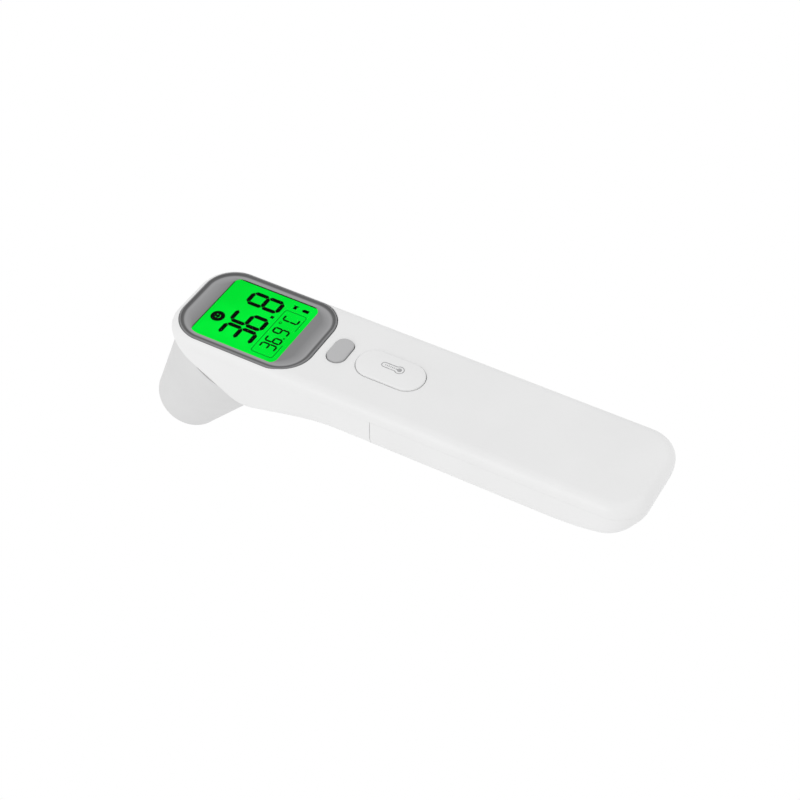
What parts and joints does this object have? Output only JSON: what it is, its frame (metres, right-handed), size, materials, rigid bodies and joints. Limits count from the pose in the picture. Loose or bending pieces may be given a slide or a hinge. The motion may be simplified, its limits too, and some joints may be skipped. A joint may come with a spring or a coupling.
{
  "type": "digital thermometer",
  "caption": "Handheld infrared ear and forehead thermometer: slim body, square display, scan and mode buttons, sliding battery door, conical cap over the probe.",
  "frame": {"origin": "a point on the handle's flat back, on the body's centre plane, 90 mm behind the display's centre", "axes": "+X from the head towards the handle's end, +Y to the right of someone reading the display, +Z out of the display"},
  "size_m": [0.1739, 0.0364, 0.0546],
  "materials": {
    "white_casing": "satin white ABS, fine even surface",
    "cap_grey": "light grey satin plastic",
    "probe_white": "smooth white plastic",
    "bezel_grey": "satin grey with a darker rim",
    "button_grey": "soft grey",
    "window_clear": "clear polished acrylic",
    "display_green": "backlit green liquid crystal with black segments",
    "diffuser": "milky light guide",
    "inner_plastic": "moulded, unpainted",
    "rubber_dark": "silicone",
    "board_green": "solder mask",
    "component_black": "moulded epoxy",
    "plated_steel": "nickel plated",
    "brass_sleeve": "turned",
    "flex_amber": "polyimide film",
    "cell_jacket": "printed jacket, plain",
    "lead_red": "insulation",
    "lead_black": "insulation"
  },
  "bodies": {
    "casing": {"front_shell": "white_casing", "rear_shell": "white_casing", "probe_housing": "probe_white", "probe_retainer": "inner_plastic", "probe_window": "window_clear", "sensor_sleeve": "brass_sleeve", "thermopile_sensor": "plated_steel", "sensor_board": "board_green", "sensor_cable": "flex_amber", "display_bezel": "bezel_grey", "display_window": "window_clear", "lcd_glass": "display_green", "lcd_backlight": "diffuser", "lcd_holder": "inner_plastic", "lcd_connector": "rubber_dark", "main_board": "board_green", "controller_chip": "component_black", "amplifier_chip": "component_black", "buzzer": "component_black", "mode_switch": "component_black", "scan_switch": "component_black", "battery_1": "cell_jacket", "battery_2": "cell_jacket", "plus_contact": "plated_steel", "minus_contact": "plated_steel", "bridge_contact": "plated_steel", "plus_lead": "lead_red", "minus_lead": "lead_black", "case_screw_1": "plated_steel", "case_screw_2": "plated_steel", "case_screw_3": "plated_steel", "case_screw_4": "plated_steel", "board_screw_1": "plated_steel", "board_screw_2": "plated_steel"},
    "battery_door": {"battery_door": "white_casing"},
    "probe_cap": {"probe_cap": "cap_grey"},
    "mode_button": {"mode_button": "button_grey"},
    "scan_button": {"scan_button": "white_casing"},
    "mode_switch_plunger": {"mode_switch_plunger": "rubber_dark"},
    "scan_switch_plunger": {"scan_switch_plunger": "rubber_dark"}
  },
  "joints": [
    {"name": "door_slide", "type": "slide", "parent": "casing", "child": "battery_door", "axis": [1, 0, 0], "range_m": [0, 0.09]},
    {"name": "cap_pull", "type": "slide", "parent": "casing", "child": "probe_cap", "axis": [-0.5299, 0, -0.848], "range_m": [0, 0.04]},
    {"name": "mode_press", "type": "slide", "parent": "casing", "child": "mode_button", "axis": [0, 0, -1], "range_m": [0, 0.0005]},
    {"name": "scan_press", "type": "slide", "parent": "casing", "child": "scan_button", "axis": [0, 0, -1], "range_m": [0, 0.0006]},
    {"name": "mode_plunger_press", "type": "slide", "parent": "casing", "child": "mode_switch_plunger", "axis": [0, 0, -1], "range_m": [0, 0.0005]},
    {"name": "scan_plunger_press", "type": "slide", "parent": "casing", "child": "scan_switch_plunger", "axis": [0, 0, -1], "range_m": [0, 0.0006]}
  ],
  "couplings": [
    {"joint": "mode_plunger_press", "follows": "mode_press", "ratio": 1},
    {"joint": "scan_plunger_press", "follows": "scan_press", "ratio": 1}
  ]
}
